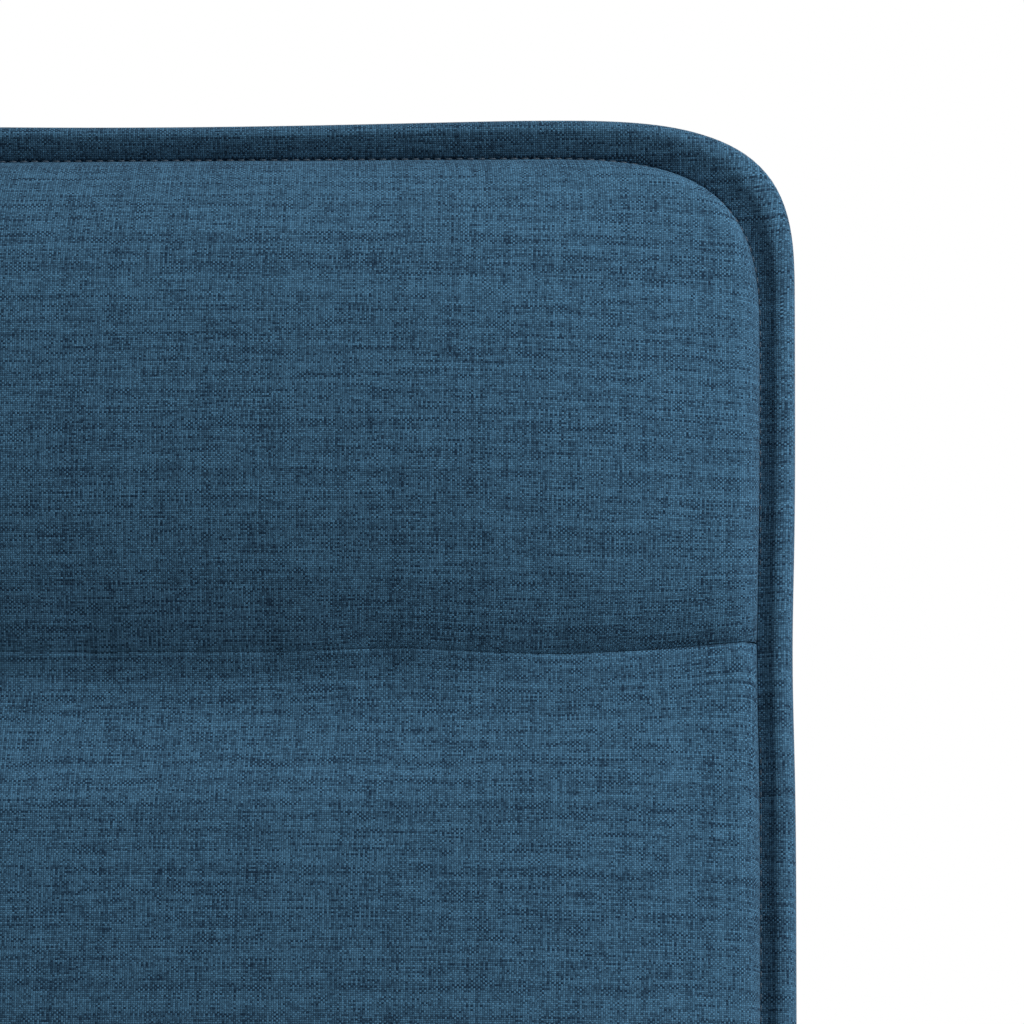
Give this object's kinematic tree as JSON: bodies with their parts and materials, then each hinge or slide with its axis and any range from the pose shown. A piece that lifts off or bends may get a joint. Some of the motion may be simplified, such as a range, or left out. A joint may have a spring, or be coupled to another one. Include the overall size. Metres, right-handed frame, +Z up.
{
  "type": "gaming chair",
  "caption": "High-back swivel chair with fabric pads, reclining back, sprung tilt, gas lift, height-adjustable armrests and a five-star base on twin-wheel casters.",
  "frame": {"origin": "on the floor under the gas lift's axis", "axes": "+Z up; the sitter faces -Y; +X is the sitter's left"},
  "size_m": [0.694, 0.7373, 1.2076],
  "materials": {
    "base_plastic": "satin",
    "cover_plastic": "satin",
    "wheel_plastic": "satin",
    "black_steel": "satin",
    "zinc_steel": "satin",
    "nylon_white": "satin",
    "spring_steel": "satin",
    "valve_red": "satin",
    "lever_plastic": "satin",
    "arm_pad_pu": "matte",
    "plywood": "matte",
    "blue_linen": "matte",
    "blue_linen_rim": "matte",
    "dust_cloth": "matte"
  },
  "bodies": {
    "base": {"base_star": "base_plastic", "caster_stems": "zinc_steel", "column_tube": "black_steel", "guide_bush": "nylon_white", "cover_lower": "cover_plastic"},
    "spindle": {"piston_rod": "zinc_steel", "thrust_bearing": "spring_steel"},
    "cover_mid": {"cover_middle": "cover_plastic"},
    "lift": {"gas_cylinder": "black_steel", "cover_upper": "cover_plastic", "mech_housing": "black_steel", "tension_spring": "spring_steel"},
    "valve": {"valve_pin": "valve_red"},
    "height_lever": {"height_lever": "lever_plastic"},
    "seat": {"seat_plate": "black_steel", "tilt_axle": "zinc_steel", "seat_board": "plywood", "seat_rim": "blue_linen_rim", "seat_pad": "blue_linen", "seat_dust_cover": "dust_cloth", "frame_bolts": "zinc_steel", "arm_brackets": "black_steel", "arm_sleeves": "base_plastic", "hinge_plates": "black_steel", "hinge_pins": "zinc_steel", "recline_springs": "spring_steel", "hinge_covers": "cover_plastic"},
    "spring_bolt": {"tension_bolt": "zinc_steel"},
    "tension_knob": {"tension_knob": "lever_plastic"},
    "back": {"back_rim": "blue_linen_rim", "back_board": "plywood", "back_frame": "black_steel", "back_panel": "blue_linen_rim", "headrest_pad": "blue_linen", "upper_back_pad": "blue_linen", "lumbar_pad": "blue_linen", "back_brackets": "black_steel", "back_bolts": "zinc_steel"},
    "recline_lever": {"recline_lever": "lever_plastic"},
    "arm_left": {"arm_post_left": "base_plastic", "arm_pad_left": "arm_pad_pu"},
    "arm_button_left": {"arm_button_left": "lever_plastic"},
    "arm_right": {"arm_post_right": "base_plastic", "arm_pad_right": "arm_pad_pu"},
    "arm_button_right": {"arm_button_right": "lever_plastic"},
    "swivel_1": {"caster_hood_1": "base_plastic"},
    "wheelset_1": {"caster_axle_1": "zinc_steel", "caster_wheels_1": "wheel_plastic"},
    "swivel_2": {"caster_hood_2": "base_plastic"},
    "wheelset_2": {"caster_axle_2": "zinc_steel", "caster_wheels_2": "wheel_plastic"},
    "swivel_3": {"caster_hood_3": "base_plastic"},
    "wheelset_3": {"caster_axle_3": "zinc_steel", "caster_wheels_3": "wheel_plastic"},
    "swivel_4": {"caster_hood_4": "base_plastic"},
    "wheelset_4": {"caster_axle_4": "zinc_steel", "caster_wheels_4": "wheel_plastic"},
    "swivel_5": {"caster_hood_5": "base_plastic"},
    "wheelset_5": {"caster_axle_5": "zinc_steel", "caster_wheels_5": "wheel_plastic"}
  },
  "joints": [
    {"name": "seat_swivel", "type": "hinge", "parent": "base", "child": "spindle", "pos_m": [0, 0, 0.1], "axis": [0, 0, 1], "continuous": true},
    {"name": "seat_lift", "type": "slide", "parent": "spindle", "child": "lift", "axis": [0, 0, 1], "range_m": [0, 0.08]},
    {"name": "cover_slide", "type": "slide", "parent": "base", "child": "cover_mid", "axis": [0, 0, 1], "range_m": [0, 0.04]},
    {"name": "seat_tilt", "type": "hinge", "parent": "lift", "child": "seat", "pos_m": [0, -0.045, 0.334], "axis": [-1, 0, 0], "range_deg": [0, 12], "stiffness_Nm_per_rad": 140, "springref_deg": -34.38, "deforming": ["tension_spring"]},
    {"name": "tension_bolt_pivot", "type": "hinge", "parent": "seat", "child": "spring_bolt", "pos_m": [0, -0.13, 0.343], "axis": [-1, 0, 0], "range_deg": [-12, 0]},
    {"name": "tension_knob_turn", "type": "hinge", "parent": "spring_bolt", "child": "tension_knob", "pos_m": [0, -0.13, 0.24], "axis": [0, 0, 1], "range_deg": [-720, 720]},
    {"name": "height_lever_lift", "type": "hinge", "parent": "lift", "child": "height_lever", "pos_m": [-0.048, 0, 0.322], "axis": [0, 1, 0], "range_deg": [0, 3.5], "stiffness_Nm_per_rad": 6, "springref_deg": -2.86},
    {"name": "valve_press", "type": "slide", "parent": "lift", "child": "valve", "axis": [0, 0, -1], "range_m": [0, 0.003]},
    {"name": "back_recline", "type": "hinge", "parent": "seat", "child": "back", "pos_m": [0, 0.212, 0.432], "axis": [-1, 0, 0], "range_deg": [0, 50]},
    {"name": "recline_lever_lift", "type": "hinge", "parent": "seat", "child": "recline_lever", "pos_m": [-0.29, 0.148, 0.39], "axis": [-1, 0, 0], "range_deg": [0, 25], "stiffness_Nm_per_rad": 0.8, "springref_deg": -8.59},
    {"name": "arm_left_height", "type": "slide", "parent": "seat", "child": "arm_left", "axis": [0, 0, 1], "range_m": [0, 0.07]},
    {"name": "arm_right_height", "type": "slide", "parent": "seat", "child": "arm_right", "axis": [0, 0, 1], "range_m": [0, 0.07]},
    {"name": "arm_button_left_press", "type": "slide", "parent": "seat", "child": "arm_button_left", "axis": [-1, 0, 0], "range_m": [0, 0.0025], "stiffness_N_per_m": 300, "springref_m": -0.003},
    {"name": "arm_button_right_press", "type": "slide", "parent": "seat", "child": "arm_button_right", "axis": [1, 0, 0], "range_m": [0, 0.0025], "stiffness_N_per_m": 300, "springref_m": -0.003},
    {"name": "caster_swivel_1", "type": "hinge", "parent": "base", "child": "swivel_1", "pos_m": [0, -0.3, 0.06], "axis": [0, 0, 1], "continuous": true},
    {"name": "caster_roll_1", "type": "hinge", "parent": "swivel_1", "child": "wheelset_1", "pos_m": [0.00732, -0.31644, 0.028], "axis": [-0.9135, -0.4067, 0], "continuous": true},
    {"name": "caster_swivel_2", "type": "hinge", "parent": "base", "child": "swivel_2", "pos_m": [0.28532, -0.09271, 0.06], "axis": [0, 0, 1], "continuous": true},
    {"name": "caster_roll_2", "type": "hinge", "parent": "swivel_2", "child": "wheelset_2", "pos_m": [0.29538, -0.10763, 0.028], "axis": [-0.829, -0.5592, 0], "continuous": true},
    {"name": "caster_swivel_3", "type": "hinge", "parent": "base", "child": "swivel_3", "pos_m": [0.17634, 0.24271, 0.06], "axis": [0, 0, 1], "continuous": true},
    {"name": "caster_roll_3", "type": "hinge", "parent": "swivel_3", "child": "wheelset_3", "pos_m": [0.18366, 0.25915, 0.028], "axis": [0.9135, -0.4067, 0], "continuous": true},
    {"name": "caster_swivel_4", "type": "hinge", "parent": "base", "child": "swivel_4", "pos_m": [-0.17634, 0.24271, 0.06], "axis": [0, 0, 1], "continuous": true},
    {"name": "caster_roll_4", "type": "hinge", "parent": "swivel_4", "child": "wheelset_4", "pos_m": [-0.17445, 0.2248, 0.028], "axis": [-0.9945, -0.1045, 0], "continuous": true},
    {"name": "caster_swivel_5", "type": "hinge", "parent": "base", "child": "swivel_5", "pos_m": [-0.28532, -0.09271, 0.06], "axis": [0, 0, 1], "continuous": true},
    {"name": "caster_roll_5", "type": "hinge", "parent": "swivel_5", "child": "wheelset_5", "pos_m": [-0.30331, -0.09208, 0.028], "axis": [0.0349, 0.9994, 0], "continuous": true}
  ],
  "couplings": [
    {"joint": "cover_slide", "follows": "seat_lift", "ratio": 0.5},
    {"joint": "tension_bolt_pivot", "follows": "seat_tilt", "ratio": -1},
    {"joint": "valve_press", "follows": "height_lever_lift", "m_per_rad": 0.048}
  ]
}
